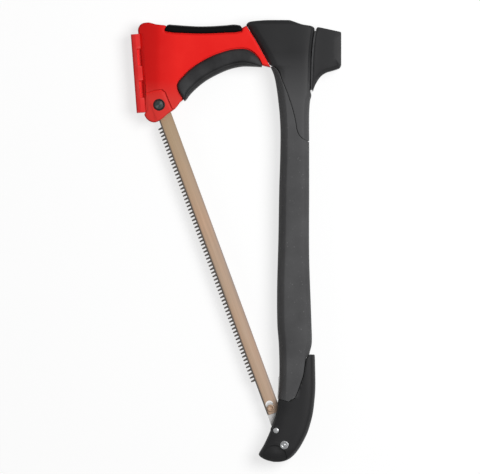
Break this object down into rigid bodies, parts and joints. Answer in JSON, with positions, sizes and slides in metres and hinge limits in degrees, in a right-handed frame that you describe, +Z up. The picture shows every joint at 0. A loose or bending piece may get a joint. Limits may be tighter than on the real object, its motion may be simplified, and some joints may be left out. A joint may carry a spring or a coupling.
{
  "type": "bow saw",
  "caption": "Bow saw built on a sheathed hatchet with a mallet face and a rubber-gripped handle, whose over-centre lever pulls the saw blade tight.",
  "frame": {"origin": "centre of the base of the saw's box as it lies on its side, on the plane it rests on", "axes": "+X from the hatchet's edge to the mallet's face, +Y from the butt of the handle to the head, +Z up through the thickness"},
  "size_m": [0.248, 0.5211, 0.036],
  "materials": {
    "hatchet_steel": "forged steel with a fine brushed grain, hidden under the shells",
    "housing_plastic": "charcoal moulded nylon with a fine satin texture",
    "mallet_plastic": "charcoal moulded nylon, slightly paler, with a fine satin texture",
    "core_plastic": "dark glass-filled nylon",
    "grip_rubber": "soft grey-black rubber with a fine mottled grain",
    "pad_rubber": "soft black rubber with a low sheen",
    "sheath_plastic": "bright red moulded plastic, smooth and softly glossy",
    "guard_plastic": "bright red moulded plastic, a little paler",
    "anchor_metal": "grey-green coated pin",
    "anchor_black": "black moulded collar",
    "lever_plastic": "charcoal moulded nylon with a satin texture",
    "pin_steel": "turned steel",
    "link_steel": "bright ground steel strip",
    "blade_steel": "bronze-tinted coated steel with long streaks"
  },
  "bodies": {
    "frame": {"hatchet_head": "hatchet_steel", "hatchet_pins": "pin_steel", "head_housing_left": "housing_plastic", "head_housing_right": "housing_plastic", "housing_screws": "pin_steel", "mallet_head": "mallet_plastic", "mallet_pins": "pin_steel", "handle_core_left": "core_plastic", "handle_core_right": "core_plastic", "core_screws": "pin_steel", "grip_sleeve": "grip_rubber", "sheath_left": "sheath_plastic", "sheath_right": "sheath_plastic", "sheath_screws": "pin_steel", "edge_guard": "guard_plastic", "top_grip_pad": "pad_rubber", "lower_grip_pad": "pad_rubber", "anchor_pin": "anchor_metal", "anchor_collars": "anchor_black", "anchor_bushings": "anchor_black", "lever_pivot_studs": "pin_steel", "lever_catch": "link_steel"},
    "lever": {"tension_lever": "lever_plastic", "link_pin": "pin_steel", "link_pin_nut": "pin_steel", "link_spacers": "pin_steel"},
    "link": {"tension_link": "link_steel", "blade_stud": "pin_steel"},
    "blade": {"saw_blade": "blade_steel"}
  },
  "joints": [
    {"name": "lever_swing", "type": "hinge", "parent": "frame", "child": "lever", "pos_m": [0.048, -0.22329, 0.018], "axis": [0, 0, -1], "range_deg": [0, 55]},
    {"name": "link_swing", "type": "hinge", "parent": "lever", "child": "link", "pos_m": [0.05743, -0.24024, 0.018], "axis": [0, 0, -1], "range_deg": [-53, 0]},
    {"name": "blade_swing", "type": "hinge", "parent": "frame", "child": "blade", "pos_m": [-0.09, 0.1605, 0.018], "axis": [0, 0, -1], "range_deg": [0, 2.4]}
  ],
  "couplings": [
    {"joint": "link_swing", "follows": "lever_swing", "ratio": -0.9571},
    {"joint": "blade_swing", "follows": "lever_swing", "ratio": 0.0429}
  ]
}
